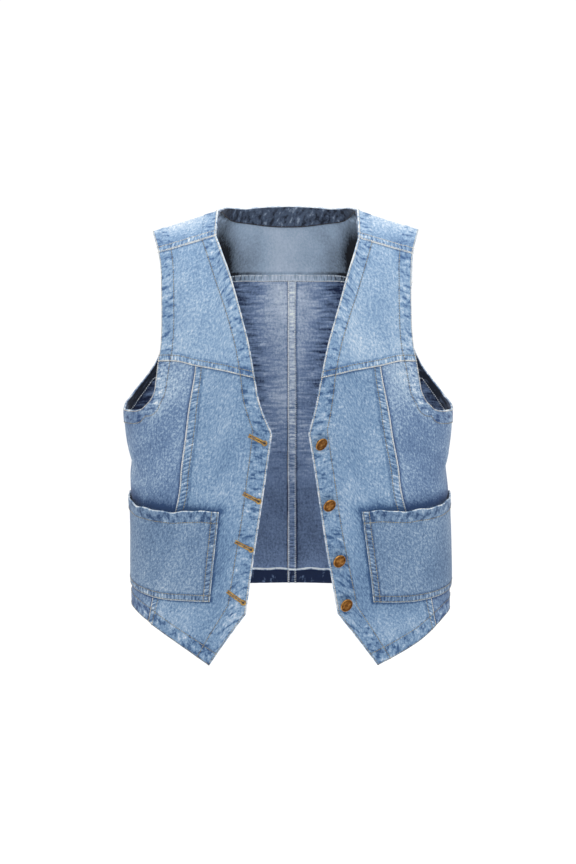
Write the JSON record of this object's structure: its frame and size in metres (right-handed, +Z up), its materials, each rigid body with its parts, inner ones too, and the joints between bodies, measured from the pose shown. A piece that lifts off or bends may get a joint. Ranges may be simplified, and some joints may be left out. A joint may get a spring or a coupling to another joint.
{
  "type": "denim vest",
  "caption": "Sleeveless V-neck denim vest worn open, with patch pockets, pointed front hem, shank buttons and a hollow, filled-out form.",
  "frame": {"origin": "where the vest hangs from the wearer: level with the top of the shoulders at the neck, midway between the two sides of the neck", "axes": "+X to the wearer's left, +Y to the back, +Z up"},
  "size_m": [0.4275, 0.2204, 0.5769],
  "materials": {
    "denim": "stonewashed light blue cotton denim",
    "denim_facing": "dark unfaded cotton denim",
    "button_brass": "antique satin brass"
  },
  "bodies": {
    "root": {"back_yoke": "denim", "neck_facing": "denim_facing", "front_yoke_right": "denim", "front_yoke_left": "denim", "front_centre_right": "denim", "front_centre_left": "denim", "front_side_right": "denim", "front_side_left": "denim", "back_right": "denim", "back_left": "denim", "armhole_facing_right": "denim_facing", "armhole_facing_left": "denim_facing", "pocket_right": "denim", "pocket_left": "denim", "button_1": "button_brass", "button_2": "button_brass", "button_3": "button_brass", "button_4": "button_brass", "button_tack_1": "button_brass", "button_tack_2": "button_brass", "button_tack_3": "button_brass", "button_tack_4": "button_brass"}
  },
  "joints": []
}
